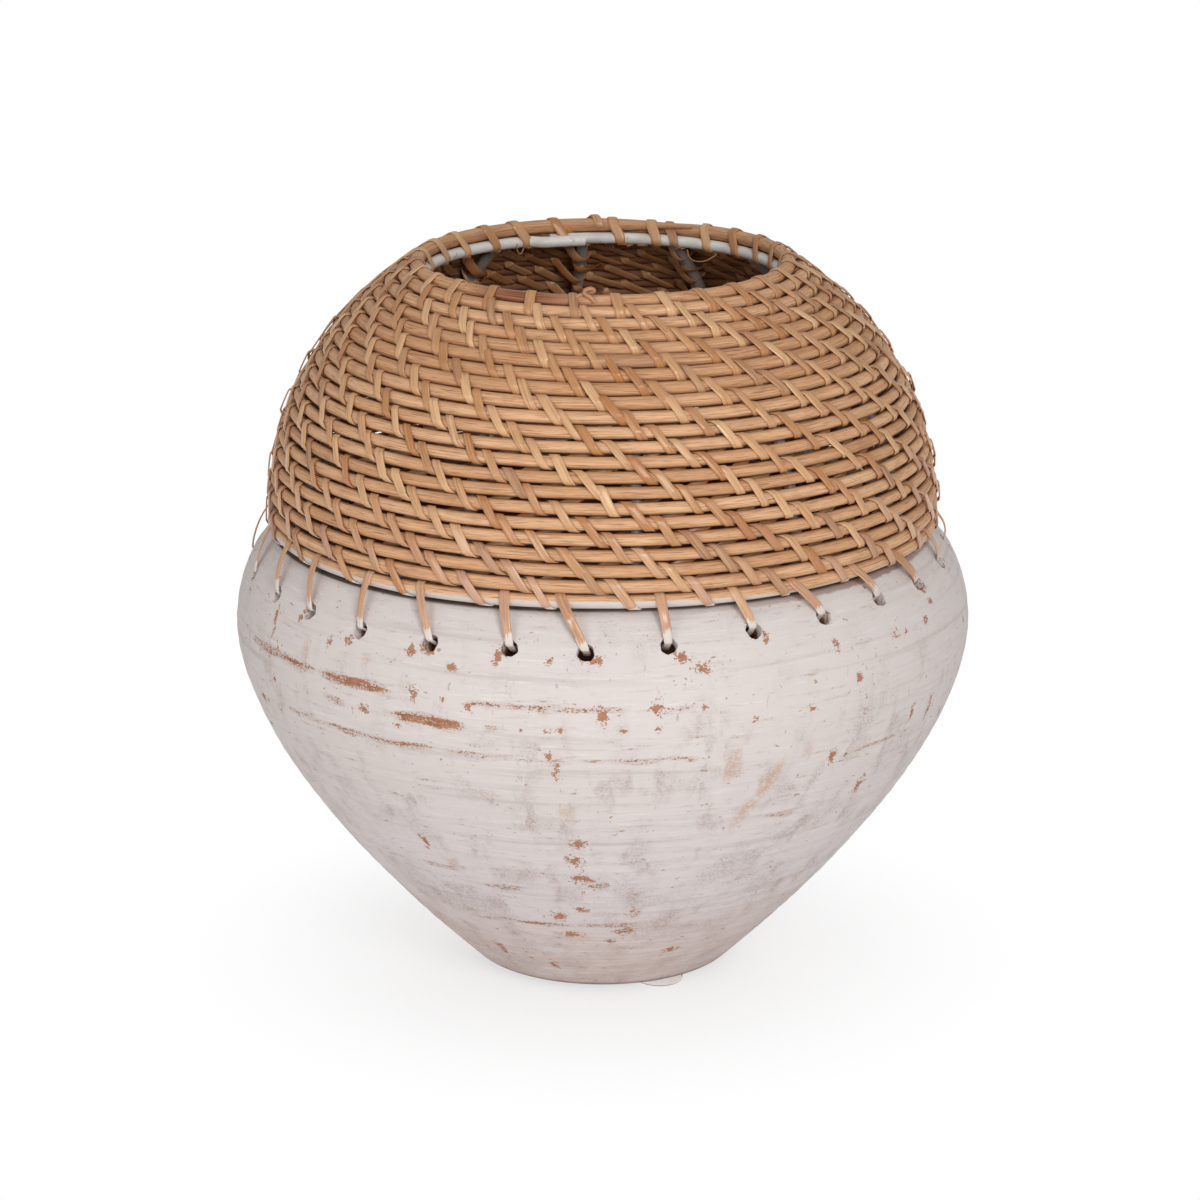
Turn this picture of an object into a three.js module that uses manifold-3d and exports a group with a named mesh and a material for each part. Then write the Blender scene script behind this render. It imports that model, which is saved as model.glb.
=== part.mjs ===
import * as THREE from "three";
import { mergeVertices } from "three/addons/utils/BufferGeometryUtils.js";
import Module from "manifold-3d";

// Round vase: a clay pot below, a dome of coiled rattan on a wire frame above,
// sewn row to row with cane whose last stitches lace the dome to the pot.
// Millimetres, +Z up. The vase's axis is Z, its pads stand on z = 0 and its front faces -Y.

const degrees = (angle) => (angle * Math.PI) / 180;
const TURN = 2 * Math.PI;
const FRONT = degrees(-90);

// Clay pot. Heights are above its underside.
const BELLY_RADIUS = 150;
const BELLY_HEIGHT = 145.7;
const BASE_RADIUS = 54;
const HEEL_RADIUS = 6;
const WALL_LEAN = degrees(42);
const WALL_PULL = 22;
const BELLY_PULL = 55.5;
const SHOULDER_INSET = 19; // lip's outer edge inside the belly
const SHOULDER_RISE = 38.1; // lip above the belly
const SHOULDER_START = 1;
const SHOULDER_DROP = 10.5;
const LIP_WIDTH = 9.5;
const CLAY = 8;
const FLOOR = 11;

// Lacing holes, drilled square to the shoulder at a share of the way from belly to lip.
// Their ring is not level: it climbs by the tilt towards +X and falls by it towards -X.
const HOLES = 28;
const HOLE_DIAMETER = 6.4;
const HOLE_SHARE = 0.74;
const HOLE_TILT = 0.06;
const HOLE_PHASE = degrees(-1.7);

// Bumper pads under the pot.
const PADS = 3;
const PAD_DIAMETER = 20;
const PAD_HEIGHT = 2.2;
const PAD_ROUND = 1.4;
const PAD_INSET = 1.5;
const PAD_PHASE = degrees(31);

// Rattan coil. The centres of its rows lie on one arc, the last row a little below its centre.
const ROWS = 22;
const ROD_DIAMETER = 5.4;
const ROW_GAP = 0.48;
const DOME_RADIUS = 115;
const LAST_ROW_DROP = 1.1;
const STEP_SHARE = 1 / 8; // of each turn, at the back, where the rod steps down a row

// Wire frame inside the coil.
const WIRE_DIAMETER = 4.8;
const FRAME_GAP = 0.4;
const RIBS = 12;
const RIB_PHASE = degrees(6);
const HOOP_MARGIN = 0.5;
const HOOP_DROP = 3.1; // bottom hoop below the centre of the dome's arc

// Cane. Each run of stitches steps sideways from row to row and ends as a lace through a hole.
const CANE = 0.9;
const RUN_WIDTH = 8;
const LACE_WIDTH = 4.2;
const ROW_SHIFT = degrees(4.4);
const LACE_LEAN = degrees(5.5);
const LACE_LIFT = 3; // middle of a lace off the shoulder
const TAIL_REACH = 0.65; // share of the way from hole to lip
const RUN_STEPS = 11;

// Clearances.
const SEAT_GAP = 0.3;
const CANE_GAP = 0.3;
const COIL_GAP_LEAST = 0.4;

// Facets.
const POT_STEPS = 40;
const HOLE_STEPS = 8;
const PAD_STEPS = 20;
const HOOP_STEPS = 36;
const RIB_STEPS = 6;
const WIRE_SIDES = 6;
const COIL_STEPS = 24;
const COIL_SIDES = 6;

const rod = ROD_DIAMETER / 2;
const wire = WIRE_DIAMETER / 2;
const bellyZ = PAD_HEIGHT + BELLY_HEIGHT;
const lipZ = bellyZ + SHOULDER_RISE;
const lipRadius = BELLY_RADIUS - SHOULDER_INSET;
const rowAngle = (ROD_DIAMETER + ROW_GAP) / DOME_RADIUS;
const footAngle = -Math.asin(LAST_ROW_DROP / DOME_RADIUS);
const rimAngle = footAngle + (ROWS - 1) * rowAngle;
const spread = 2 / (1 + Math.cos(Math.PI / COIL_STEPS)); // corners of a turn out, its flats in
const coilSag = lipRadius * (spread - 1);
const frameRadius = DOME_RADIUS - rod - coilSag - FRAME_GAP - wire;
const hoopZ = lipZ + SEAT_GAP + wire;
const hoopRadius = lipRadius - HOOP_MARGIN - wire;
const domeZ = hoopZ + HOOP_DROP;
const domeR = hoopRadius - Math.sqrt(frameRadius ** 2 - HOOP_DROP ** 2);

const wasm = await Module();
wasm.setup();

const clay = new THREE.MeshStandardMaterial({ color: 0xe4ddd6, roughness: 0.95, metalness: 0 });
const rattan = new THREE.MeshStandardMaterial({ color: 0xc99663, roughness: 0.7, metalness: 0 });
const cane = new THREE.MeshStandardMaterial({ color: 0xd8a45c, roughness: 0.55, metalness: 0 });
const whiteWire = new THREE.MeshStandardMaterial({ color: 0xf0ede8, roughness: 0.5, metalness: 0 });
const padRubber = new THREE.MeshStandardMaterial({ color: 0xd6dbdc, roughness: 0.25, metalness: 0 });

const point2 = (r, z) => new THREE.Vector2(r, z);

// Point at radius r and height z, turned by an angle about the vase's axis.
const around = (r, angle, z) => new THREE.Vector3(r * Math.cos(angle), r * Math.sin(angle), z);

// Point of the dome's section at a distance from the centre of its arc.
const domePoint = (radius, angle) =>
  point2(domeR + radius * Math.cos(angle), domeZ + radius * Math.sin(angle));

function toSolid(geometry) {
  const bare = geometry.clone().deleteAttribute("normal").deleteAttribute("uv");
  const merged = mergeVertices(bare, 1e-3);
  return new wasm.Manifold(
    new wasm.Mesh({
      numProp: 3,
      vertProperties: new Float32Array(merged.attributes.position.array),
      triVerts: new Uint32Array(merged.index.array),
    }),
  );
}

function toGeometry(solid) {
  const made = solid.getMesh();
  const geometry = new THREE.BufferGeometry();
  geometry.setAttribute("position", new THREE.BufferAttribute(made.vertProperties, 3));
  geometry.setIndex(new THREE.BufferAttribute(made.triVerts, 1));
  geometry.computeVertexNormals();
  return geometry;
}

// Solid of revolution about Z from a section of radius and height.
const turned = (section, steps) => new THREE.LatheGeometry(section, steps).rotateX(Math.PI / 2);

// Closed bar through rings of corners, with a flat face at each end.
function skinRings(rings) {
  const sides = rings[0].length;
  const last = (rings.length - 1) * sides;
  const index = [];
  for (let from = 0; from < last; from += sides) {
    for (let side = 0; side < sides; side++) {
      const a = from + side;
      const b = from + ((side + 1) % sides);
      index.push(a, a + sides, b, b, a + sides, b + sides);
    }
  }
  for (let side = 1; side + 1 < sides; side++) {
    index.push(0, side, side + 1);
    index.push(last, last + side + 1, last + side);
  }
  const geometry = new THREE.BufferGeometry().setFromPoints(rings.flat());
  geometry.setIndex(index);
  geometry.computeVertexNormals();
  return geometry;
}

// Outer section of the pot in two curves, heel to belly and belly to lip.
const heelEnd = point2(
  BASE_RADIUS + HEEL_RADIUS * Math.cos(WALL_LEAN),
  PAD_HEIGHT + HEEL_RADIUS * (1 - Math.sin(WALL_LEAN)),
);
const wallCurve = new THREE.CubicBezierCurve(
  heelEnd,
  point2(heelEnd.x + WALL_PULL * Math.sin(WALL_LEAN), heelEnd.y + WALL_PULL * Math.cos(WALL_LEAN)),
  point2(BELLY_RADIUS, bellyZ - BELLY_PULL),
  point2(BELLY_RADIUS, bellyZ),
);
const shoulderCurve = new THREE.CubicBezierCurve(
  point2(BELLY_RADIUS, bellyZ),
  point2(BELLY_RADIUS, bellyZ + SHOULDER_START),
  point2(BELLY_RADIUS, lipZ - SHOULDER_DROP),
  point2(lipRadius, lipZ),
);

// Point of a section curve moved inwards, square to the curve.
function inset(curve, share, depth) {
  const at = curve.getPoint(share);
  const along = curve.getTangent(share);
  return point2(at.x - depth * along.y, at.y + depth * along.x);
}

function potSection() {
  const heel = new THREE.EllipseCurve(
    BASE_RADIUS,
    PAD_HEIGHT + HEEL_RADIUS,
    HEEL_RADIUS,
    HEEL_RADIUS,
    -Math.PI / 2,
    -WALL_LEAN,
  );
  const wallSteps = 7;
  const shoulderSteps = 6;
  const outside = [
    ...heel.getPoints(2),
    ...wallCurve.getPoints(wallSteps).slice(1),
    ...shoulderCurve.getPoints(shoulderSteps).slice(1),
  ];
  const inside = [];
  for (let i = shoulderSteps; i >= 0; i--) inside.push(inset(shoulderCurve, i / shoulderSteps, CLAY));
  for (let i = wallSteps - 1; i >= 0; i--) inside.push(inset(wallCurve, i / wallSteps, CLAY));

  // The inner wall runs on at the lip until it meets the mouth, and stops at the floor.
  const mouth = lipRadius - LIP_WIDTH;
  const rise = (inside[0].y - inside[1].y) / (inside[1].x - inside[0].x);
  const underLip = point2(mouth, inside[0].y + (inside[0].x - mouth) * rise);
  const floorZ = PAD_HEIGHT + FLOOR;
  const below = inside.findIndex((p) => p.y <= floorZ);
  const high = inside[below - 1];
  const low = inside[below];
  const share = (high.y - floorZ) / (high.y - low.y);
  const floorEdge = high.clone().lerp(low, share);
  return [
    point2(0, PAD_HEIGHT),
    ...outside,
    point2(mouth, lipZ),
    underLip,
    ...inside.slice(0, below),
    floorEdge,
    point2(0, floorZ),
  ];
}

const holeAngle = (index) => FRONT + HOLE_PHASE + (index * TURN) / HOLES;
const holeShare = (index) => HOLE_SHARE + HOLE_TILT * Math.cos(holeAngle(index));

function makePot() {
  let pot = toSolid(turned(potSection(), POT_STEPS));
  for (let i = 0; i < HOLES; i++) {
    const centre = inset(shoulderCurve, holeShare(i), CLAY / 2);
    const along = shoulderCurve.getTangent(holeShare(i));
    const drill = new THREE.CylinderGeometry(HOLE_DIAMETER / 2, HOLE_DIAMETER / 2, 3 * CLAY, HOLE_STEPS);
    drill.rotateZ(-Math.PI / 2 - Math.atan2(along.x, along.y));
    drill.translate(centre.x, centre.y, 0);
    drill.rotateX(Math.PI / 2);
    drill.rotateZ(holeAngle(i));
    pot = pot.subtract(toSolid(drill));
  }
  return toGeometry(pot);
}

function makePad(index) {
  const round = new THREE.EllipseCurve(
    PAD_DIAMETER / 2 - PAD_ROUND,
    PAD_ROUND,
    PAD_ROUND,
    PAD_ROUND,
    -Math.PI / 2,
    0,
  );
  const section = [
    point2(0, 0),
    ...round.getPoints(3),
    point2(PAD_DIAMETER / 2, PAD_HEIGHT),
    point2(0, PAD_HEIGHT),
  ];
  const place = around(
    BASE_RADIUS - PAD_DIAMETER / 2 + PAD_INSET,
    FRONT + PAD_PHASE + (index * TURN) / PADS,
    0,
  );
  return turned(section, PAD_STEPS).translate(place.x, place.y, 0);
}

const makeHoop = (radius, z) =>
  new THREE.TorusGeometry(radius, wire, WIRE_SIDES, HOOP_STEPS).translate(0, 0, z);

// Ribs stop short of both hoops, where the real ones are welded.
function makeRib(index) {
  const clear = (wire + SEAT_GAP) / frameRadius;
  const low = clear - Math.asin(HOOP_DROP / frameRadius);
  const high = rimAngle - clear;
  const angle = FRONT + RIB_PHASE + (index * TURN) / RIBS;
  const rings = [];
  for (let i = 0; i <= RIB_STEPS; i++) {
    const lift = low + ((high - low) * i) / RIB_STEPS;
    const ring = [];
    for (let side = 0; side < WIRE_SIDES; side++) {
      const turn = (side * TURN) / WIRE_SIDES;
      const p = domePoint(frameRadius + wire * Math.cos(turn), lift);
      const sideways = around(wire * Math.sin(turn), angle - Math.PI / 2, 0);
      ring.push(around(p.x, angle, p.y).add(sideways));
    }
    rings.push(ring);
  }
  return skinRings(rings);
}

// Row that the coil has reached after a number of turns: level, then a step down at the back.
function rowAfter(turns) {
  const whole = Math.floor(turns + 1e-6);
  const into = (turns - whole - 1 + STEP_SHARE) / STEP_SHARE;
  return whole + THREE.MathUtils.smoothstep(into, 0, 1);
}

function coilRing(turns, ahead) {
  const lift = rimAngle - rowAfter(turns) * rowAngle;
  const angle = -FRONT + turns * TURN;
  const ring = [];
  for (let side = 0; side < COIL_SIDES; side++) {
    const turn = (side * TURN) / COIL_SIDES;
    const p = domePoint(DOME_RADIUS + rod * Math.cos(turn), lift + (rod * Math.sin(turn)) / DOME_RADIUS);
    ring.push(around(p.x * spread, angle, p.y).add(around(ahead, angle + Math.PI / 2, 0)));
  }
  return ring;
}

// One rod wound from the mouth to the foot of the dome, its ends straight for a rod's diameter.
function makeCoil() {
  const steps = Math.round((ROWS - STEP_SHARE) * COIL_STEPS);
  const rings = [coilRing(0, -ROD_DIAMETER)];
  for (let i = 0; i <= steps; i++) rings.push(coilRing(i / COIL_STEPS, 0));
  rings.push(coilRing(steps / COIL_STEPS, ROD_DIAMETER));
  let least = Infinity;
  for (let i = 0; i + COIL_STEPS < rings.length; i++) {
    for (const p of rings[i]) {
      for (const q of rings[i + COIL_STEPS]) least = Math.min(least, p.distanceTo(q));
    }
  }
  console.log("rattan_coil: least gap to itself", least.toFixed(2), "mm, wanted over", COIL_GAP_LEAST);
  return skinRings(rings);
}

// Section of a run of stitches: over the top hoop, down the dome, off the last row,
// into its hole and up the inside of the pot.
function runStations(index) {
  const half = CANE / 2;
  const lastAngle = holeAngle(index) - LACE_LEAN;
  const firstAngle = lastAngle - (ROWS - 1) * ROW_SHIFT;
  const stepTurn = ((ROWS - 1) * ROW_SHIFT) / RUN_STEPS;
  const stepLift = (rimAngle - footAngle) / RUN_STEPS;
  const sag =
    (domeR + DOME_RADIUS) * (1 - Math.cos(stepTurn / 2)) + DOME_RADIUS * (1 - Math.cos(stepLift / 2));
  const inner = frameRadius - wire - CANE_GAP - half;
  const outer = DOME_RADIUS + rod + coilSag + CANE_GAP + half + sag;
  const over = rimAngle + (rod + CANE_GAP + half) / DOME_RADIUS;
  const stations = [];
  const add = (p, angle, width) => stations.push({ p, angle, width });

  add(domePoint(inner, rimAngle - wire / frameRadius), firstAngle, LACE_WIDTH);
  add(domePoint(inner, rimAngle + wire / frameRadius), firstAngle, LACE_WIDTH);
  add(domePoint(frameRadius, over), firstAngle, LACE_WIDTH);
  add(domePoint(DOME_RADIUS + rod / 2, over), firstAngle, LACE_WIDTH);
  add(domePoint(outer, rimAngle + rod / 2 / DOME_RADIUS), firstAngle, RUN_WIDTH);
  for (let i = 0; i <= RUN_STEPS; i++) {
    add(domePoint(outer, rimAngle - i * stepLift), firstAngle + i * stepTurn, RUN_WIDTH);
  }

  const angle = holeAngle(index);
  const hole = holeShare(index);
  const inside = CLAY + CANE_GAP + CANE;
  const middle = (1 + hole) / 2;
  const tail = hole + TAIL_REACH * (1 - hole);
  add(domePoint(outer, footAngle - rod / DOME_RADIUS), lastAngle + LACE_LEAN / 4, LACE_WIDTH);
  add(inset(shoulderCurve, middle, -LACE_LIFT), angle - LACE_LEAN / 3, LACE_WIDTH);
  add(inset(shoulderCurve, hole, -CANE), angle, LACE_WIDTH);
  add(inset(shoulderCurve, hole, CANE), angle, LACE_WIDTH);
  add(inset(shoulderCurve, hole, inside), angle, LACE_WIDTH);
  add(inset(shoulderCurve, tail, inside), angle, LACE_WIDTH);
  return stations;
}

function makeRun(index) {
  const stations = runStations(index);
  const rings = stations.map(({ p, angle, width }, i) => {
    const before = stations[Math.max(i - 1, 0)].p;
    const after = stations[Math.min(i + 1, stations.length - 1)].p;
    const along = after.clone().sub(before).normalize();
    const across = point2(-along.y, along.x).multiplyScalar(CANE / 2);
    const sideways = around(width / 2, angle + Math.PI / 2, 0);
    const face = around(p.x + across.x, angle, p.y + across.y);
    const back = around(p.x - across.x, angle, p.y - across.y);
    return [
      face.clone().sub(sideways),
      face.clone().add(sideways),
      back.clone().add(sideways),
      back.clone().sub(sideways),
    ];
  });
  return skinRings(rings);
}

const vase = new THREE.Group();
vase.name = "vase";

function addPiece(name, geometry, material) {
  const mesh = new THREE.Mesh(geometry, material.clone());
  mesh.name = name;
  vase.add(mesh);
}

const numbered = (name, index) => name + "_" + String(index + 1).padStart(2, "0");

const topHoop = domePoint(frameRadius, rimAngle);
addPiece("clay_pot", makePot(), clay);
for (let i = 0; i < PADS; i++) addPiece(numbered("bumper_pad", i), makePad(i), padRubber);
addPiece("bottom_hoop", makeHoop(hoopRadius, hoopZ), whiteWire);
addPiece("top_hoop", makeHoop(topHoop.x, topHoop.y), whiteWire);
for (let i = 0; i < RIBS; i++) addPiece(numbered("frame_rib", i), makeRib(i), whiteWire);
addPiece("rattan_coil", makeCoil(), rattan);
for (let i = 0; i < HOLES; i++) addPiece(numbered("stitch_run", i), makeRun(i), cane);

export default vase;
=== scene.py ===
import math
from functools import reduce

import bmesh
import bpy
import numpy as np
from numpy.random import default_rng
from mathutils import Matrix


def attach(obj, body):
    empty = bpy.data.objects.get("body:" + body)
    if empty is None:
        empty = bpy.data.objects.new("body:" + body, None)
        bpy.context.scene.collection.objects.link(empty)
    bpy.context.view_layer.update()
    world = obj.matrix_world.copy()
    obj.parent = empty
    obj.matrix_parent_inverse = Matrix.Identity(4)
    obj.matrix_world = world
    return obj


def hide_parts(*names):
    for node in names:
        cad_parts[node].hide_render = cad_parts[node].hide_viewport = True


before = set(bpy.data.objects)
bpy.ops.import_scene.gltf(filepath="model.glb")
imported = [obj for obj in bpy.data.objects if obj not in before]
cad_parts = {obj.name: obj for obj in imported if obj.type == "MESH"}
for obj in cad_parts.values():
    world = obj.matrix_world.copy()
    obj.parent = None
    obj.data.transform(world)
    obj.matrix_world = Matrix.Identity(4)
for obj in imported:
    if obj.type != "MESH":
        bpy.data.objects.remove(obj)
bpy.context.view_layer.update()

MM = 0.001
TURN = 2 * math.pi
FRONT = -math.pi / 2

# Sizes of the clay pot in millimetres. They are the part's own, with the foot drawn in a little
# and the lip built up by the wash.
BELLY_RADIUS = 150.0
BELLY_Z = 147.9
BASE_RADIUS = 50.0
BASE_Z = 2.2
HEEL_RADIUS = 7.2
WALL_LEAN = math.radians(46)
WALL_PULL = 25.5
BELLY_PULL = 53.0
LIP_RADIUS = 131.0
LIP_Z = 186.0
LIP_WIDTH = 9.5
LIP_BUILD_UP = 1.2  # wash built up along the lip, under the last row
LIP_LINE = 185.8  # height of the painted shadow line under the last row
SHOULDER_START = 1.0
SHOULDER_DROP = 10.5
CLAY = 8.0
FLOOR_Z = 13.2
HOLES = 28
HOLE_RADIUS = 3.2
HOLE_SHARE = 0.74  # of the way up the shoulder
HOLE_TILT = 0.06  # the ring of holes climbs to the right
HOLE_PHASE = math.radians(-1.7)
PADS = 3
PAD_RADIUS = 10.0
PAD_RING = 45.5
PAD_ROUND = 1.4
PAD_PHASE = math.radians(31)

# Sizes of the dome.
ROWS = 22
ROD_RADIUS = 2.7
ROW_PITCH = 5.88
LAST_ROW_DROP = 1.1
DOME_RADIUS = 115.0
DOME_R = 19.21  # middle of the dome's arc
DOME_Z = 191.8
STEP_SHARE = 1 / 8  # of a turn, in which the coil steps down to its next row
COIL_START = math.pi / 2
WIRE_RADIUS = 2.4
BAR_SIDES = 12
FRAME_RADIUS = 108.94  # arc of the ribs, about the same middle
RIBS = 12
RIB_PHASE = math.radians(6)
HOOP_RADIUS = 128.1
HOOP_Z = 189.7
ROW_ANGLE = ROW_PITCH / DOME_RADIUS
FOOT_ANGLE = -math.asin(LAST_ROW_DROP / DOME_RADIUS)
RIM_ANGLE = FOOT_ANGLE + (ROWS - 1) * ROW_ANGLE

# Sizes of the cane, and how it runs.
CANE = 0.62
CANE_WIDTH = 3.4
LACE_WIDTH = 3.8
ROW_SHIFT = math.radians(4.3)  # how far back a stitch starts from the one below it
SEAT = 0.06  # cane off the rod that it lies on
USUAL_SLACK = 0.35  # how far a stitch stands off its rods at its middle
MOST_SLACK = 1.6

# Lacing holes that the photograph shows, from left to right, each with its turn and its climb
# off the even ring and the lean of its lace. The turns and leans are in degrees.
SEEN_FIRST = -6
SEEN_HOLES = [
    (2.0, 0.001, 2.0), (2.3, -0.001, 2.5), (0.4, -0.008, 2.9), (-0.2, -0.031, 1.2),
    (0.2, -0.033, 4.1), (0.3, -0.021, 1.9), (-0.8, -0.044, 4.6), (-1.0, -0.019, 1.0),
    (0.3, 0.021, 2.9), (0.6, 0.021, 5.4), (0.9, 0.025, 5.2), (0.1, -0.002, 6.1),
]

# Chips in the wash: turn from the front in degrees, height, half-width and half-height.
CHIPS = [
    (-67, 128, 2.6, 2.2), (-60, 141, 1.6, 1.8), (-60, 128, 1.3, 1.3), (-54, 131, 1.3, 1.5),
    (-46, 165, 2.0, 1.9), (-44, 168, 1.2, 1.2), (-54, 169, 1.9, 1.6), (-42, 168, 2.1, 1.8),
    (-38, 143, 2.5, 2.0), (-32, 139, 2.1, 1.1), (-30, 169, 2.1, 2.6), (-29, 153, 1.8, 3.1),
    (-24, 153, 1.3, 1.3), (-23, 165, 3.4, 1.7), (-20, 151, 1.4, 1.7), (-16, 171, 1.8, 3.4),
    (-14, 161, 1.0, 1.3), (-12, 143, 1.2, 1.2), (-8, 170, 1.8, 1.7), (-8, 143, 1.2, 1.1),
    (-6, 144, 1.3, 1.1), (-8, 133, 1.5, 1.5), (-7, 126, 1.5, 3.2), (-1, 170, 2.7, 1.6),
    (-4, 171, 1.6, 1.2), (0, 150, 2.4, 3.8), (8, 152, 2.4, 3.4), (3, 144, 1.5, 1.1),
    (8, 144, 1.9, 1.3), (12, 171, 3.0, 1.8), (15, 166, 3.6, 1.8), (15, 152, 1.1, 1.1),
    (23, 145, 1.4, 1.1), (26, 175, 1.5, 2.0), (33, 145, 1.8, 1.1), (38, 167, 1.7, 2.8),
    (42, 153, 2.1, 2.1), (43, 145, 1.2, 1.1), (51, 165, 2.4, 1.6), (54, 164, 1.5, 1.4),
    (60, 165, 2.1, 2.1), (64, 170, 1.8, 1.4), (38, 122, 2.0, 3.2), (41, 121, 1.3, 1.3),
    (48, 102, 2.0, 4.6), (56, 130, 1.3, 3.6), (62, 127, 1.5, 5.0), (-34, 83, 1.6, 4.4),
    (-4, 91, 3.4, 3.0), (-5, 82, 3.4, 3.0), (-4, 72, 5.0, 3.0), (-1, 68, 3.6, 1.5),
    (-4, 64, 1.3, 1.1), (-5, 54, 2.3, 2.0), (-10, 49, 3.4, 2.4), (6, 40, 3.4, 2.3),
    (2, 34, 1.8, 1.2), (21, 25, 3.4, 1.4), (-17, 16, 2.1, 2.2), (-34, 22, 2.0, 4.2),
    (-61.5, 167, 1.2, 3.4), (-61, 161, 1.1, 3.0), (-59, 156, 1.1, 2.6), (7, 51, 2.0, 2.2),
    (-8, 38, 4.6, 1.4),
]

# Streaks worn along the turning lines: from and to, in degrees from the front, height, half-height
# and strength.
STREAKS = [
    (-70, -47, 152.4, 1.8, 0.75), (-49, -32, 152.4, 2.4, 1.05), (-22, 5, 152.4, 1.6, 0.7),
    (3, 16, 152, 1.5, 0.5), (-49, -40, 143, 1.6, 0.72), (-34, -19, 143, 2.4, 1.08),
    (-19, -14, 143.3, 1.8, 0.85), (-58, -24, 131, 1.5, 0.74), (-25, 16, 131, 1.5, 0.5),
    (-40, -27, 70, 1.6, 0.7), (-28, -14, 64, 1.6, 0.72), (-33, 11, 43.5, 1.5, 0.6),
    (41, 54, 122, 1.6, 0.72), (26, 37, 98, 1.5, 0.6),
]

# Soft smears where clay shows through thin wash: turn, height, half-width, half-height, lean, strength.
SMEARS = [
    (-51, 158, 2.0, 6.0, 0.0, 0.8), (-38, 162, 2.0, 3.0, 0.0, 0.6), (-6, 106, 3.4, 3.4, 0.0, 0.7),
    (-30, 73, 2.6, 4.2, 0.5, 0.7), (-7, 37, 6.0, 3.2, 0.0, 0.7), (7, 51, 3.4, 3.6, 0.0, 0.7),
    (20, 126, 2.6, 8.0, 0.2, 0.9), (27, 116, 3.2, 9.0, 0.45, 1.0), (24, 103, 3.2, 8.0, 0.45, 1.0),
    (32, 98, 4.5, 1.8, 0.0, 0.7), (50, 54, 2.6, 2.4, 0.0, 0.7), (33, 128, 1.8, 6.0, 0.0, 0.5),
]


def smooth(x):
    """0 up to 0, 1 from 1 on, and an even rise between."""
    x = np.clip(x, 0, 1)
    return x * x * (3 - 2 * x)


def bump(x, middle, half):
    """1 at the middle, falling smoothly to 0 at half away."""
    return smooth(1 - np.abs(x - middle) / half)


def waves(seed, low, high, count=6):
    """A line that wanders between about -1 and 1, as a function of one number."""
    draw = default_rng(seed)
    speed = draw.uniform(low, high, count) * TURN
    phase = draw.uniform(0, TURN, count)
    widen = 1.7  # because a mean of sines stays small
    return lambda x: np.sin(np.multiply.outer(x, speed) + phase).mean(-1) * widen


def spun(r, angle, z):
    """Points in space from radius, angle and height."""
    r, angle, z = np.broadcast_arrays(r, angle, z)
    return np.stack([r * np.cos(angle), r * np.sin(angle), z], -1)


def unit(v):
    """The same way, with a length of 1."""
    return v / np.maximum(np.linalg.norm(v, axis=-1, keepdims=True), 1e-9)


def way(points):
    """Distance along a line of points, from 0 at its first."""
    return np.concatenate([[0], np.cumsum(np.linalg.norm(np.diff(points, axis=0), axis=1))])


def curve_through(points, per):
    """A rounded line through the points, with that many steps between neighbours."""
    p = np.vstack([2 * points[0] - points[1], points, 2 * points[-1] - points[-2]])
    t = np.arange(per)[:, None] / per
    runs = []
    for a, b, c, d in zip(p, p[1:], p[2:], p[3:]):
        curved = (2 * a - 5 * b + 4 * c - d) * t**2 + (3 * b - a - 3 * c + d) * t**3
        runs.append(0.5 * (2 * b + (c - a) * t + curved))
    return np.vstack(runs + [points[-1:]])


def bezier(points, steps):
    """A curve from the first of four points to the last, drawn towards the two between."""
    t = np.linspace(0, 1, steps)[:, None]
    a, b, c, d = (np.array(p, float) for p in points)
    return (1 - t) ** 3 * a + 3 * (1 - t) ** 2 * t * b + 3 * (1 - t) * t**2 * c + t**3 * d


def arc(r, z, radius, start, end, count):
    """Points of an arc about a middle, from one angle to another."""
    turn = np.linspace(start, end, count)
    return np.stack([r + radius * np.cos(turn), z + radius * np.sin(turn)], -1)


def round_bar(points, radius, up):
    """Rings of a round bar along a line of points."""
    ahead = unit(np.gradient(points, axis=0))
    across = unit(np.cross(ahead, np.broadcast_to(up, ahead.shape)))
    other = np.cross(across, ahead)
    turn = np.linspace(0, TURN, BAR_SIDES, endpoint=False)
    ring = np.cos(turn)[None, :, None] * across[:, None] + np.sin(turn)[None, :, None] * other[:, None]
    return points[:, None] + ring * radius


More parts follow.
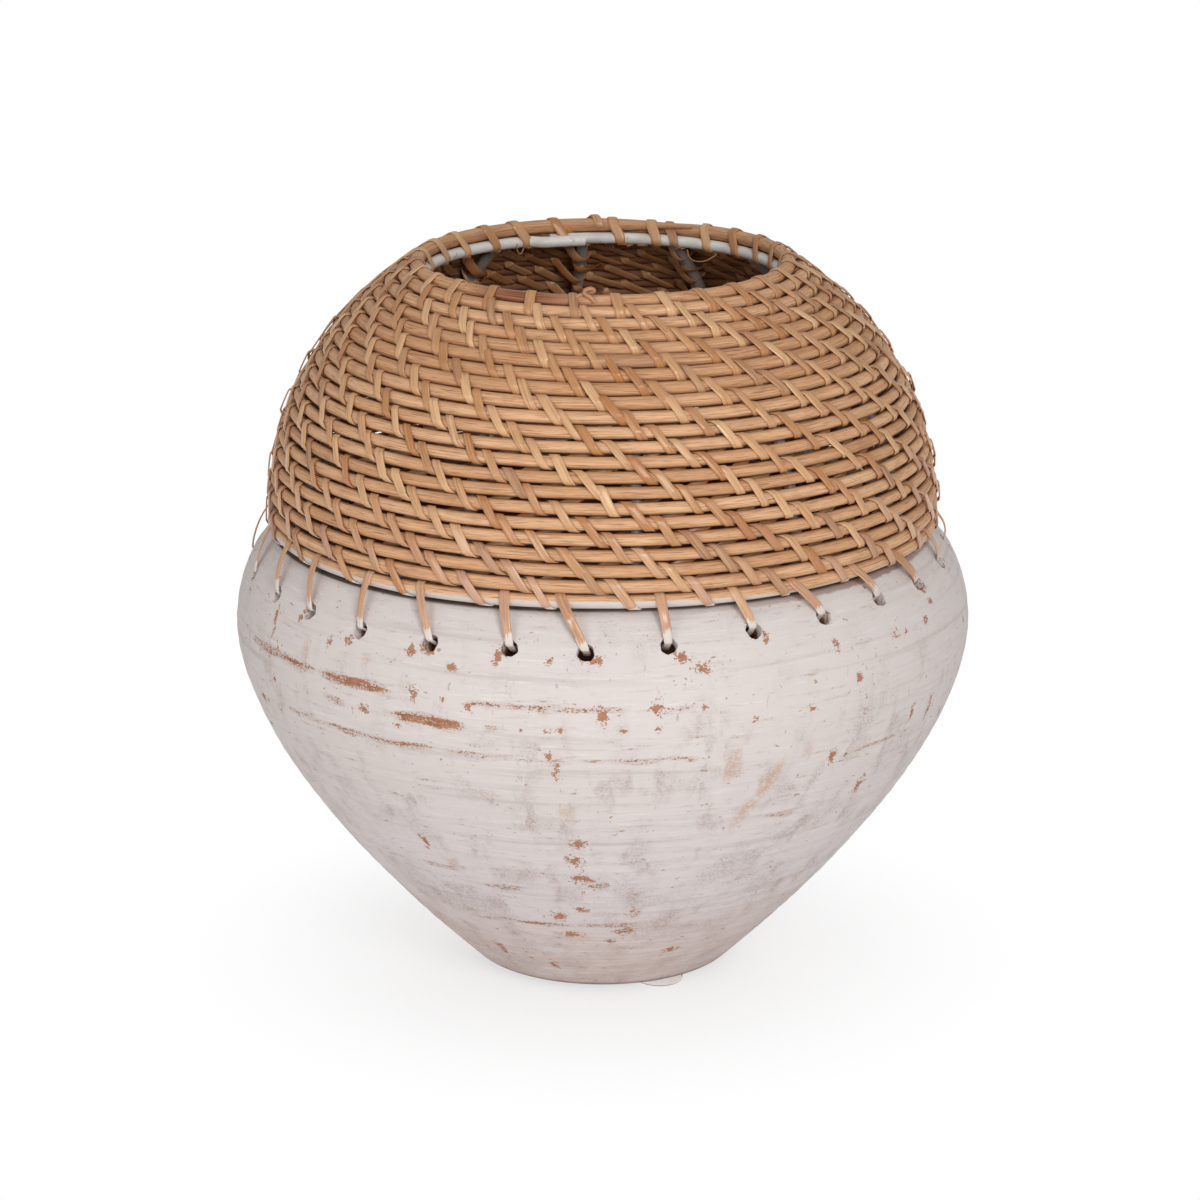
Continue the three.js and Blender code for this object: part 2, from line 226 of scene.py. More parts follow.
class Shape:
    """Collects skinned rings of points into one mesh, with numbers kept at each point."""

    def __init__(self):
        self.points = []
        self.faces = []
        self.marks = {}
        self.count = 0

    def tube(self, rings, **marks):
        """rings: stations by points around. A mark is one number, one a station or one a point."""
        n, m = rings.shape[:2]
        i = np.arange(n - 1)[:, None]
        j = np.arange(m)[None, :]
        beside = (j + 1) % m
        quads = np.stack([i * m + j, i * m + beside, (i + 1) * m + beside, (i + 1) * m + j], -1)
        self.faces += (quads.reshape(-1, 4) + self.count).tolist()
        self.faces.append((np.arange(m)[::-1] + self.count).tolist())
        self.faces.append((np.arange(m) + (n - 1) * m + self.count).tolist())
        self.points.append(rings.reshape(-1, 3))
        for name, value in marks.items():
            value = np.asarray(value, float)
            wide = (n, m, 3) if name == "grain" else (n, m)
            if value.ndim == 1 and name != "grain":
                value = value[:, None]
            self.marks.setdefault(name, []).append(np.broadcast_to(value, wide).reshape(n * m, -1))
        self.count += n * m

    def mesh(self, name):
        """The mesh, in metres, with its faces turned outwards."""
        mesh = bpy.data.meshes.new(name)
        mesh.from_pydata((np.vstack(self.points) * MM).tolist(), [], self.faces)
        for mark, values in self.marks.items():
            values = np.vstack(values)
            vector = values.shape[1] == 3
            layer = mesh.attributes.new(mark, "FLOAT_VECTOR" if vector else "FLOAT", "POINT")
            layer.data.foreach_set("vector" if vector else "value", values.ravel())
        work = bmesh.new()
        work.from_mesh(mesh)
        bmesh.ops.recalc_face_normals(work, faces=work.faces)
        work.to_mesh(mesh)
        work.free()
        return mesh


def placed(name, data):
    """A new object in the scene."""
    obj = bpy.data.objects.new(name, data)
    bpy.context.scene.collection.objects.link(obj)
    return obj


def dress(node, mesh, material, sharp):
    """Puts the mesh in place of a CAD node, with that material."""
    mesh.shade_smooth()
    mesh.set_sharp_from_angle(angle=math.radians(sharp))
    mesh.materials.clear()
    mesh.materials.append(material)
    mesh.validate()
    obj = placed(node + "_visual", mesh)
    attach(obj, "root")
    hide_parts(node)


def numbered(name, index):
    """Name of one of several pieces alike, counted from 1."""
    return "%s_%02d" % (name, index + 1)


def srgb(red, green, blue):
    """A colour as seen on a screen, 0 to 255, as the light it stands for."""
    light = [((c / 255 + 0.055) / 1.055) ** 2.4 for c in (red, green, blue)]
    return (*light, 1.0)


class Value:
    """A number in a node tree, to reckon with as with a plain one."""

    def __init__(self, nodes, socket):
        self.nodes = nodes
        self.socket = socket

    def math(self, operation, other):
        return self.nodes.node("ShaderNodeMath", {0: self, 1: other}, operation=operation)

    def __add__(self, other):
        return self.math("ADD", other)

    def __sub__(self, other):
        return self.math("SUBTRACT", other)

    def __mul__(self, other):
        return self.math("MULTIPLY", other)

    def most(self, other):
        return self.math("MAXIMUM", other)

    def ramp(self, low, high):
        """0 at low and 1 at high, smooth between them."""
        sockets = {"Value": self, "From Min": low, "From Max": high}
        return self.nodes.node("ShaderNodeMapRange", sockets, interpolation_type="SMOOTHSTEP")

    def fit(self, low, high):
        """From between 0 and 1 spread to between low and high."""
        return self.nodes.node("ShaderNodeMapRange", {"Value": self, "To Min": low, "To Max": high})


class Nodes:
    """Writes a node tree."""

    def __init__(self, tree):
        self.tree = tree

    def feed(self, socket, value):
        """Links a value of the tree to a socket, or sets the socket to a plain one."""
        if isinstance(value, Value):
            self.tree.links.new(value.socket, socket)
        else:
            socket.default_value = value

    def node(self, kind, sockets=None, out=0, **fields):
        """An output of a new node, with its fields set and its sockets fed."""
        made = self.tree.nodes.new(kind)
        for key, value in fields.items():
            setattr(made, key, value)
        for key, value in (sockets or {}).items():
            self.feed(made.inputs[key], value)
        return Value(self, made.outputs[out])

    def place(self):
        return self.node("ShaderNodeTexCoord", out="Object")

    def mark(self, name):
        return self.node("ShaderNodeAttribute", out="Fac", attribute_name=name)

    def grain(self):
        return self.node("ShaderNodeAttribute", out="Vector", attribute_name="grain")

    def ray(self, kind):
        return self.node("ShaderNodeLightPath", out="Is %s Ray" % kind)

    def noise(self, vector, scale, detail=3.0, rough=0.55, bend=0.0):
        """Noise at one scale, or at three along the axes."""
        if isinstance(scale, tuple):
            vector = self.node("ShaderNodeVectorMath", {0: vector, 1: scale}, operation="MULTIPLY")
            scale = 1.0
        sockets = {"Vector": vector, "Scale": scale, "Detail": detail,
                   "Roughness": rough, "Distortion": bend}
        return self.node("ShaderNodeTexNoise", sockets, out="Fac")

    def mix(self, share, a, b):
        return self.node("ShaderNodeMix", {"Factor": share, 6: a, 7: b}, out=2, data_type="RGBA")

    def height(self, value, strength, distance):
        return self.node("ShaderNodeBump", {"Strength": strength, "Distance": distance, "Height": value})


class Paint(Nodes):
    """A material built up in coats of colour."""

    def __init__(self, name):
        self.material = bpy.data.materials.new(name)
        self.material["slot"] = name
        self.material.use_nodes = True
        super().__init__(self.material.node_tree)
        self.shader = self.tree.nodes["Principled BSDF"]
        self.colour = None

    def coat(self, share, colour):
        """Lays that share of a colour over what is there."""
        self.colour = self.mix(share, self.colour, colour)

    def done(self, **sockets):
        """Feeds the colour and the other sockets to the shader."""
        self.feed(self.shader.inputs["Base Color"], self.colour)
        for key, value in sockets.items():
            self.feed(self.shader.inputs[key.replace("_", " ")], value)
        return self.material


def whitewash_material():
    """Chalky lime wash over terracotta, brushed round the pot, dry-brushed thin and chipped in places."""
    p = Paint("whitewashed_clay")
    at = p.place()
    band = p.noise(at, (10, 10, 300), 4.0)
    brush = p.noise(at, (60, 60, 900))
    run = p.noise(at, (130, 130, 26))
    cloud = p.noise(at, 20, 4.0, 0.6)
    patch = p.noise(at, (62, 62, 48), rough=0.6)
    blot = p.noise(at, 330, 4.0, 0.62, 0.4)
    grit = p.noise(at, 1500, 2.0, 0.6)
    weave = p.noise(at, (1100, 1100, 1700), rough=0.65).ramp(0.42, 0.64)
    low = p.mark("low")
    worked = low.ramp(0.015, 0.16)
    foot = low.ramp(0.78, 0.99)

    p.colour = p.mix((cloud + low).ramp(0.5, 1.3), srgb(219, 210, 206), srgb(222, 213, 212))
    p.coat(band.ramp(0.52, 0.74) * 0.5, srgb(194, 181, 177))
    p.coat(brush.ramp(0.56, 0.72) * 0.4, srgb(236, 230, 227))
    thin = (patch + low * 0.1).ramp(0.5, 0.72) * weave.fit(0.2, 1.0)
    p.coat(thin * worked.fit(0.2, 0.54), srgb(174, 158, 154))
    streaky = run.ramp(0.52, 0.68) * (patch.ramp(0.4, 0.6) * weave.fit(0.25, 1.0))
    p.coat(streaky * worked.fit(0.15, 0.66), srgb(170, 148, 138))
    rubbed = foot * brush.ramp(0.4, 0.62).fit(0.35, 1.0)
    p.coat(rubbed * 0.55, srgb(200, 174, 160))

    fleck = p.noise(at, (230, 230, 420), 2.0, 0.6).ramp(0.69, 0.73)
    scratch = p.noise(at, (520, 520, 110), 2.0, 0.6).ramp(0.68, 0.74)
    p.coat(scratch * 0.5, srgb(172, 150, 142))
    p.coat(fleck * 0.75, srgb(170, 132, 110))

    brick = p.mix(blot.ramp(0.35, 0.65), srgb(156, 106, 78), srgb(184, 132, 103))
    ragged = blot * 2.2 + weave * 0.36 - 1.28
    chips = (p.mark("chip") + ragged).ramp(0.56, 0.62)
    wisp = p.noise(at, (70, 70, 520), 5.0, 0.65)
    worn = p.mark("streak") + (wisp - 0.5) * 2.6
    streaks = (worn + (weave - 0.6) * 0.5).ramp(0.58, 0.72)
    dirt = worn.ramp(0.1, 0.6) * weave.fit(0.3, 1.0)
    p.coat(dirt * 0.6, srgb(178, 150, 134))
    bare = chips.most(streaks)
    smear = p.mark("smear") * (blot + weave * 0.3).ramp(0.35, 0.75)
    p.coat(smear * 0.85, srgb(202, 166, 140))
    p.coat(bare, brick)
    inner = p.mix(band.ramp(0.35, 0.65), srgb(126, 84, 62), srgb(168, 122, 96))
    p.coat((p.mark("inside") + blot * 0.5).ramp(0.6, 0.9), inner)
    # Painted shade: a dark brown line along the bottom edge of the foot.
    p.coat(p.mark("foot_shade") * blot.fit(0.4, 1.1), srgb(128, 98, 80))
    # A brownish band on the clay just below the painted shadow line under the last row, on the right
    # side.
    brown_band = p.mark("brown_band") * (p.mark("shade_under_row") + blot * 1.4).ramp(-0.9, -0.2)
    p.coat(brown_band * 0.85, srgb(166, 136, 122))
    # Painted shadow: a dark line on the clay just under the last row of the coil.
    p.coat(p.mark("shade_under_row").ramp(-0.35, 0.25) * 0.9, srgb(84, 64, 54))

    relief = grit * 0.2 + brush * 0.45 + band * 0.8 - bare * 0.7
    rough = cloud.fit(0.78, 0.95)
    return p.done(Roughness=rough, Normal=p.height(relief, 0.5, 0.0006), Specular_IOR_Level=0.2)


def rattan_material():
    """Peeled rattan core: dark fibres along the rod, with slow changes of tone."""
    p = Paint("rattan_core")
    along = p.grain()
    fibre = p.noise(along, (34, 6, 6), rough=0.62)
    pore = p.noise(along, (110, 12, 12), 2.0)
    drift = p.noise(along, (9, 0.6, 0.6))
    blot = p.noise(p.place(), 60, 4.0)
    speck = p.noise(p.place(), 700)
    p.colour = p.mix(drift.ramp(0.3, 0.7), srgb(235, 189, 147), srgb(219, 168, 125))
    p.coat(p.mark("tone"), srgb(198, 144, 100))
    p.coat(p.mark("grey") * 0.6, srgb(168, 128, 98))
    p.coat(blot.ramp(0.52, 0.8) * 0.7, srgb(184, 134, 98))
    p.coat(fibre.ramp(0.5, 0.68) * 0.5, srgb(150, 100, 66))
    p.coat(fibre.ramp(0.5, 0.32) * 0.35, srgb(236, 196, 160))
    p.coat(pore.ramp(0.54, 0.68) * 0.7, srgb(112, 70, 42))
    skin = p.mark("skin")
    bark = p.mix(fibre.ramp(0.4, 0.62), srgb(120, 68, 42), srgb(172, 116, 84))
    p.coat(skin, bark)
    p.coat(p.mark("cut"), srgb(70, 52, 40))
    # Painted shade: darker on the inside of the dome.
    p.coat(p.mark("inner") * 0.85, srgb(132, 80, 52))
    # Painted shade in the grooves between the rows.
    p.coat(p.mark("groove") * 0.8, srgb(88, 50, 30))
    spray = p.mark("paint") + (blot + speck - 1.0) * 0.22
    p.coat(spray.ramp(0.5, 0.56) * 0.92, srgb(214, 205, 200))
    relief = fibre + pore * 0.5
    gloss = fibre.fit(0.46, 0.66) - skin * 0.28
    return p.done(Roughness=gloss, Normal=p.height(relief, 0.5, 0.0004), Specular_IOR_Level=0.3)


def cane_material():
    """Flat cane: shiny skin with fine lines along it, some strips turned to show the dull back."""
    p = Paint("cane")
    along = p.grain()
    fibre = p.noise(along, (40, 1300, 1), rough=0.6)
    drift = p.noise(along, (70, 150, 1))
    blot = p.noise(p.place(), 160, 4.0)
    back = p.mark("back")
    p.colour = p.mix(p.mark("tone"), srgb(226, 182, 136), srgb(182, 120, 70))
    p.coat(p.mark("pink"), srgb(204, 160, 138))
    p.coat(back, srgb(178, 136, 102))
    p.coat(drift.ramp(0.45, 0.75) * 0.4, srgb(180, 124, 78))
    p.coat(fibre.ramp(0.48, 0.7) * back.fit(0.42, 0.8), srgb(134, 88, 54))
    p.coat(fibre.ramp(0.46, 0.3) * 0.3, srgb(238, 202, 160))
    spray = p.mark("paint") + (blot + fibre - 1.0) * 0.7
    over = spray.ramp(0.5, 0.6)
    p.coat(over * 0.9, srgb(226, 217, 210))
    # Painted shade: strips darker where they run inside the dome.
    p.coat(p.mark("inner") * 0.45, srgb(186, 120, 68))
    gloss = drift.fit(0.18, 0.36) + (back + over) * 0.32
    return p.done(Roughness=gloss, Normal=p.height(fibre, 0.35, 0.0003), Specular_IOR_Level=0.5)


def wire_material():
    """White paint on wire, a little uneven and dirty, greyed on the ribs as painted shade."""
    p = Paint("white_wire")
    at = p.place()
    dirt = p.noise(at, 70, 5.0, 0.6)
    drip = p.noise(at, 320)
    p.colour = p.mix(dirt.ramp(0.4, 0.75), srgb(230, 226, 220), srgb(204, 195, 186))
    p.coat(drip.ramp(0.64, 0.74) * 0.6, srgb(168, 138, 112))
    # Painted shade: the ribs, which stand inside the dome, are greyed.
    p.coat(p.mark("dusty") * dirt.fit(0.5, 1.0), srgb(148, 137, 128))
    return p.done(Roughness=dirt.fit(0.32, 0.5), Normal=p.height(drip, 0.25, 0.0005))


def pad_material():
    """Clear soft plastic with a faint haze."""
    p = Paint("clear_pad")
    haze = p.noise(p.place(), 260)
    p.colour = p.mix(haze, srgb(228, 218, 211), srgb(210, 199, 191))
    return p.done(Roughness=haze.fit(0.08, 0.22), Transmission_Weight=0.85, IOR=1.49)


# The clay pot.
SHOULDER = [(BELLY_RADIUS, BELLY_Z), (BELLY_RADIUS, BELLY_Z + SHOULDER_START),
            (BELLY_RADIUS, LIP_Z - SHOULDER_DROP), (LIP_RADIUS, LIP_Z)]
FINE_STEPS = 2000
SHOULDER_FINE = bezier(SHOULDER, FINE_STEPS + 1)
POT_SIDES = 600
WALL_STEPS = 130
SHOULDER_STEPS = 36
INNER_WALL_STEPS = 50
INNER_SHOULDER_STEPS = 22
FLOOR_POINTS = 8
BUILD_UP_REACH = 8  # down from the lip
UNDER_POINTS = 7  # points of the outline under the pot, before its heel
LIP_ROUND = 1.6
RING_DEPTH = 0.16  # turning rings
RING_CHANGE = 0.05
DENT_DEPTH = 0.25
OVAL_DEPTH = 0.27
LOBE_DEPTH = 0.15
PLUG_SIDES = 26
PLUG_PAST = 4.0  # how far the plugs reach past the clay on both sides
PLUG_RINGS = [(0.0, 1.9), (3.2, 1.0), (4.3, 0.35), (5.4, 0.0), (16.0, 0.0)]  # depth, and times the flare
LEFT_SAG = 1.2
MORE_CHIPS = 120
MORE_STREAK_HEIGHTS = (152.4, 152.4, 143, 143, 131, 118, 101, 84, 70, 56, 43.5, 30)


def wall_curve(steps):
    """Radius and height up the wall, from the heel to the belly."""
    heel_r = BASE_RADIUS + HEEL_RADIUS * math.cos(WALL_LEAN)
    heel = np.array([heel_r, BASE_Z + HEEL_RADIUS * (1 - math.sin(WALL_LEAN))])
    pull = heel + WALL_PULL * np.array([math.sin(WALL_LEAN), math.cos(WALL_LEAN)])
    return bezier([heel, pull, (BELLY_RADIUS, BELLY_Z - BELLY_PULL), (BELLY_RADIUS, BELLY_Z)], steps)


def shoulder_point(share, out):
    """Radius and height on the shoulder, moved outwards square to it."""
    at = min(int(share * FINE_STEPS), FINE_STEPS - 1)
    step = unit(SHOULDER_FINE[at + 1] - SHOULDER_FINE[at])
    return SHOULDER_FINE[at] + out * np.array([step[1], -step[0]])


def hole_place(index):
    """Angle of a lacing hole, its share of the way up the shoulder and the lean of its lace."""
    place = (index - SEEN_FIRST) % HOLES
    draw = default_rng([11, index % HOLES])
    turn = draw.normal(0, 0.5)
    climb = draw.normal(0, 0.015)
    lean = draw.uniform(1.2, 5.4)
    if place < len(SEEN_HOLES):
        turn, climb, lean = SEEN_HOLES[place]
    even = FRONT + HOLE_PHASE + index * TURN / HOLES
    share = HOLE_SHARE + HOLE_TILT * math.cos(even) + climb
    return even + math.radians(turn), share, math.radians(lean)


def pot_profile():
    """Outline of the pot's section from under its middle, up the outside and down the inside.

    It comes with the count of its points that lie outside.
    """
    under = np.linspace((2, BASE_Z), (BASE_RADIUS - 2, BASE_Z), UNDER_POINTS)
    heel = arc(BASE_RADIUS, BASE_Z + HEEL_RADIUS, HEEL_RADIUS, -math.pi / 2, -WALL_LEAN, 8)
    outer = np.vstack([heel, wall_curve(WALL_STEPS)[1:], bezier(SHOULDER, SHOULDER_STEPS)[1:-2]])
    outer[:, 1] += LIP_BUILD_UP * smooth((outer[:, 1] - LIP_Z + BUILD_UP_REACH) / BUILD_UP_REACH)
    lip_z = LIP_Z + LIP_BUILD_UP - LIP_ROUND
    edge = arc(LIP_RADIUS - LIP_ROUND - 0.4, lip_z, LIP_ROUND, 0.25, math.pi / 2, 5)
    edge_in = arc(LIP_RADIUS - LIP_WIDTH + LIP_ROUND, lip_z, LIP_ROUND, math.pi / 2, math.pi, 5)
    skin = np.vstack([wall_curve(INNER_WALL_STEPS)[1:], bezier(SHOULDER, INNER_SHOULDER_STEPS)[1:]])
    step = unit(np.gradient(skin, axis=0))
    hollow = skin - CLAY * np.stack([step[:, 1], -step[:, 0]], -1)
    hollow = hollow[(hollow[:, 1] > FLOOR_Z + 3) & (hollow[:, 1] < LIP_Z - 6)][::-1]
    floor = np.linspace((hollow[-1, 0] - 4, FLOOR_Z), (2, FLOOR_Z), FLOOR_POINTS)
    return np.vstack([under, outer, edge, edge_in, hollow, floor]), len(under) + len(outer)


def pot_shell():
    """The turned pot before drilling, with faint turning rings and an uneven round."""
    profile, outside = pot_profile()
    angle = np.linspace(0, TURN, POT_SIDES, endpoint=False)
    length = way(profile)
    depth = RING_DEPTH + RING_CHANGE * np.sin(2 * angle + length[:, None] / 40)
    rings = waves(21, 0.05, 0.19, 7)(length)[:, None] * depth
    oval = OVAL_DEPTH * np.sin(2 * angle + 0.7) + LOBE_DEPTH * np.sin(3 * angle + 2.1)
    dents_up = waves(23, 0.008, 0.03, 4)(length)
    dents = DENT_DEPTH * waves(22, 1.8, 6.6, 5)(angle / TURN)[None, :] * dents_up[:, None]
    share = smooth((profile[:, 1:] - BASE_Z) / 30) * (np.arange(len(profile))[:, None] < outside)
    share = share * smooth((LIP_Z + 2 - profile[:, 1:]) / 12)
    pot = Shape()
    pot.tube(spun(profile[:, :1] + (rings + dents + oval) * share, angle[None, :], profile[:, 1:]))
    return pot.mesh("pot_shell")


def hole_plugs():
    """Slightly ragged plugs, flared where the drill broke the wash away."""
    cut = Shape()
    turn = np.linspace(0, TURN, PLUG_SIDES, endpoint=False)
    for i in range(HOLES):
        draw = default_rng([31, i])
        angle, share, _ = hole_place(i)
        outer_r, outer_z = shoulder_point(share, PLUG_PAST)
        inner_r, inner_z = shoulder_point(share, -CLAY - PLUG_PAST)
        start = spun(outer_r, angle, outer_z)
        axis = unit(spun(inner_r, angle, inner_z) - start)
        across = np.array([-math.sin(angle), math.cos(angle), 0.0])
        upward = np.cross(axis, across)
        ragged = 1 + 0.05 * np.sin(turn * 3 + draw.uniform(0, 6))
        ragged = ragged + 0.04 * np.sin(turn * 7 + draw.uniform(0, 6))
        flare = 0.3 + 0.9 * np.clip(np.sin(turn + draw.uniform(2.4, 5.0)), 0, 1) * draw.uniform(0.3, 1.0)
        rings = []
        for depth, wide in PLUG_RINGS:
            r = HOLE_RADIUS * ragged + wide * flare
            ring = start + axis * depth + np.outer(r * np.cos(turn), across)
            rings.append(ring + np.outer(r * np.sin(turn), upward))
        cut.tube(np.array(rings))
    return cut.mesh("hole_plugs")


def drilled_pot():
    """The pot's mesh with the plugs cut out of it."""
    body = placed("pot_work", pot_shell())
    cutter = placed("cutter_work", hole_plugs())
    drill = body.modifiers.new("drill", "BOOLEAN")
    drill.operation = "DIFFERENCE"
    drill.solver = "MANIFOLD"
    drill.object = cutter
    view = bpy.context.evaluated_depsgraph_get()
    mesh = bpy.data.meshes.new_from_object(body.evaluated_get(view))
    for obj in (body, cutter):
        bpy.data.objects.remove(obj)
    return mesh


def left_sag(angle):
    """How far the last rows hang lower on the left."""
    return LEFT_SAG * np.clip(-np.cos(angle), 0, 1)


def turn_from(angle, degrees):
    """Angle from a place that many degrees from the front, between -pi and pi."""
    return np.angle(np.exp(1j * (angle - FRONT - math.radians(degrees))))


def more_chips():
    """Chips on the sides and back that the photograph doesn't show."""
    draw = default_rng(61)
    turns = draw.uniform(70, 290, MORE_CHIPS)
    heights = 12 + 160 * draw.uniform(0, 1, MORE_CHIPS) ** 0.7
    wide = draw.lognormal(0.6, 0.4, MORE_CHIPS)
    tall = draw.lognormal(0.6, 0.4, MORE_CHIPS)
    return list(zip(turns, heights, wide, tall))


def more_streaks():
    """Streaks on the sides and back."""
    draw = default_rng(62)
    lines = []
    for height in MORE_STREAK_HEIGHTS:
        start = draw.uniform(68, 270)
        end = start + draw.uniform(9, 30)
        tall = draw.uniform(1.5, 2.3)
        lines.append((start, end, height, tall, draw.uniform(0.6, 1.0)))
    return lines


def strongest(marks):
    """The greatest of several marks at each point, and no less than 0."""
    return reduce(np.maximum, marks, 0)


def chip_marks(angle, radius, z):
    """For each chip, 1 at its middle, 0.5 at its edge and no more than 0 well away."""
    for turn, height, wide, tall in CHIPS + more_chips():
        far = np.hypot(turn_from(angle, turn) * radius / wide, (z - height) / tall)
        yield 1 - far / 2


def hole_rim_marks(angle, radius, z):
    """Wash broken off round the holes, mostly below them and on the side away from the front."""
    for i in range(HOLES):
        draw = default_rng([32, i])
        hole, share, _ = hole_place(i)
        r, height = shoulder_point(share, 0)
        across = turn_from(angle, math.degrees(hole - FRONT)) * r
        up = z - height
        far = np.hypot(np.hypot(across, up), radius - r)
        way_off = math.copysign(0.7, turn_from(hole, 0)) + draw.normal(0, 0.4)
        side = (across * way_off - up) / np.maximum(far, 1) / math.hypot(way_off, 1)
        worn = smooth((HOLE_RADIUS + draw.uniform(1.6, 3.4) - far) / 2.4)
        worn = worn * smooth((side + 0.1) / 0.7)
        yield draw.uniform(0.3, 0.75) * worn * (far < 12)


def streak_marks(angle, radius, z):
    """Strength of the streaks, fading towards their ends."""
    for start, end, height, tall, strength in STREAKS + more_streaks():
        middle = (start + end) / 2
        half = math.radians(end - start) / 2
        ends = smooth((half - np.abs(turn_from(angle, middle))) * radius / 9)
        yield strength * ends * np.clip(1.35 - np.abs(z - height) / tall, 0, 1)


def smear_marks(angle, radius, z):
    """Strength of the soft smears."""
    for turn, height, wide, tall, lean, strength in SMEARS:
        off = turn_from(angle, turn) * radius - lean * (z - height)
        yield strength * smooth(1.4 - np.hypot(off / wide, (z - height) / tall))


def add_pot(material):
    """The drilled pot, with the numbers that its material reads at each point."""
    mesh = drilled_pot()
    points = np.empty(len(mesh.vertices) * 3)
    mesh.vertices.foreach_get("co", points)
    x, y, z = points.reshape(-1, 3).T / MM
    angle = np.arctan2(y, x)
    radius = np.hypot(x, y)
    profile, outside = pot_profile()
    skin = profile[UNDER_POINTS:outside]
    inside = smooth((np.interp(z, skin[:, 1], skin[:, 0]) - radius - 1.5) / 3) * (z > BASE_Z + 1)
    inside = inside * smooth((LIP_Z - 3 - z) / 6)
    shown = 1 - inside
    place = (angle, radius, z)
    chips = strongest(chip_marks(*place))
    marks = {
        "low": smooth((LIP_Z - z) / LIP_Z),
        "inside": inside,
        "chip": np.maximum(chips, strongest(hole_rim_marks(*place))) * shown,
        "streak": strongest(streak_marks(*place)) * shown,
        "smear": strongest(smear_marks(*place)) * shown,
        # Painted shade along the bottom edge of the foot.
        "foot_shade": smooth((BASE_Z + 3.4 - z) / 2.6) * smooth((radius - 40) / 10),
        # Height above the painted shadow line under the last row; the line runs lower on the left, where
        # the rows sag.
        "shade_under_row": z - LIP_LINE + left_sag(angle),
        "brown_band": bump(np.degrees(turn_from(angle, 0)), 55, 50) * shown,
    }
    for name, values in marks.items():
        mesh.attributes.new(name, "FLOAT", "POINT").data.foreach_set("value", values)
    dress("clay_pot", mesh, material, sharp=38)


# The coil of rattan core.
wander_down = waves(41, 1.3, 7.3)
wander_out = waves(42, 1.1, 6.7)
wander_size = waves(43, 0.7, 5.1)
SPLICE = 5.493  # turns down the coil to the join of two rods that shows in front
SPLICE_GREY = 0.07  # turns beyond it that stand out and look grey
SPLICE_FINE = 3e-4  # turns to the extra stations beside it
CUT_HALF = 5e-4
COIL_TAIL = 0.085  # turns that each end runs on past the even rows, thinned to fill the step
COIL_END = ROWS - STEP_SHARE
COIL_STATIONS = 3600
ROD_SIDES = 16
ROD_OVAL = 0.025  # rods pressed a little flat where they show
ROD_FILL = 0.98  # share of the even rod, before the rows differ
TIGHT_FILL = 0.045  # fuller rods in the tight upper rows
RIM_FILL = 0.04
LOOSE_THIN = 0.1  # thinner rods in the open middle rows
LEAST_ROD = 0.4
WANDER_DOWN = 0.28
TIGHT_CALM = 0.17  # taken off the wander in the upper rows
WANDER_OUT = 0.2
WANDER_SIZE = 0.018
RIM_LIFT = 0.7
RIM_OUT = 1.1
RIM_ROWS = 3  # rows over which the rim's lift fades
TIGHT_ROWS = 10
LOOSE_ROWS = (8, 21)  # the first and the last of the thinner rows
SAG_ROW = 18.5  # where the sag on the left starts
SPLICE_OUT = 0.75
SKIN_AT = 0.4345  # turns down the coil to the patch with its skin left on
SKIN_HALF = 0.052
JOINS = 14  # changes of tone where one rod follows another


def row_after(t):
    """Row reached after t turns: flat for most of a turn, then a step down to the next."""
    whole = np.floor(t)
    return whole + smooth((t - whole - (1 - STEP_SHARE)) / STEP_SHARE)


def rod_at(t):
    """Lift, offset off the dome and radius of the coil after t turns."""
    t = np.asarray(t, float)
    row = row_after(np.clip(t, 0, COIL_END))
    rim = smooth(1 - row / RIM_ROWS)
    sag = left_sag(COIL_START + t * TURN) * smooth((row - SAG_ROW) / 2.5)
    tight = smooth((TIGHT_ROWS - row) / 3)
    fill = ROD_FILL + TIGHT_FILL * tight + RIM_FILL * smooth(1 - row)
    fill = fill - LOOSE_THIN * smooth((row - LOOSE_ROWS[0]) / 3) * smooth((LOOSE_ROWS[1] - row) / 3)
    radius = ROD_RADIUS * (fill + WANDER_SIZE * wander_size(t))
    rows_left = np.where(t > COIL_END, ROWS - 1 - row_after(t - 1), 2)
    room = np.where(t < 0, row_after(t + 1), rows_left) * ROW_PITCH
    thin = np.clip((room - 0.5) / 2, LEAST_ROD, radius)
    shift = wander_down(t) * (WANDER_DOWN - TIGHT_CALM * tight) + RIM_LIFT * rim - sag
    shift = shift + np.where(t < 0, 1, -1) * (radius - thin)
    lift = RIM_ANGLE - row * ROW_ANGLE + shift / DOME_RADIUS
    return lift, wander_out(t) * WANDER_OUT + RIM_OUT * rim, thin


def on_dome(lift, out):
    """Radius and height of a point that far off the middle of the coil's layer."""
    return DOME_R + (DOME_RADIUS + out) * np.cos(lift), DOME_Z + (DOME_RADIUS + out) * np.sin(lift)


def turn_share(angle):
    """Share of a turn from the coil's start to that angle."""
    return ((angle - COIL_START) / TURN) % 1.0


def spray_limit(angle):
    """How far round under the last row the wash was sprayed over it, measured from its outside."""
    return -0.15 + 0.75 * smooth((np.degrees(turn_from(angle, 0)) - 12) / 30) + 0.12 * np.sin(5 * angle)


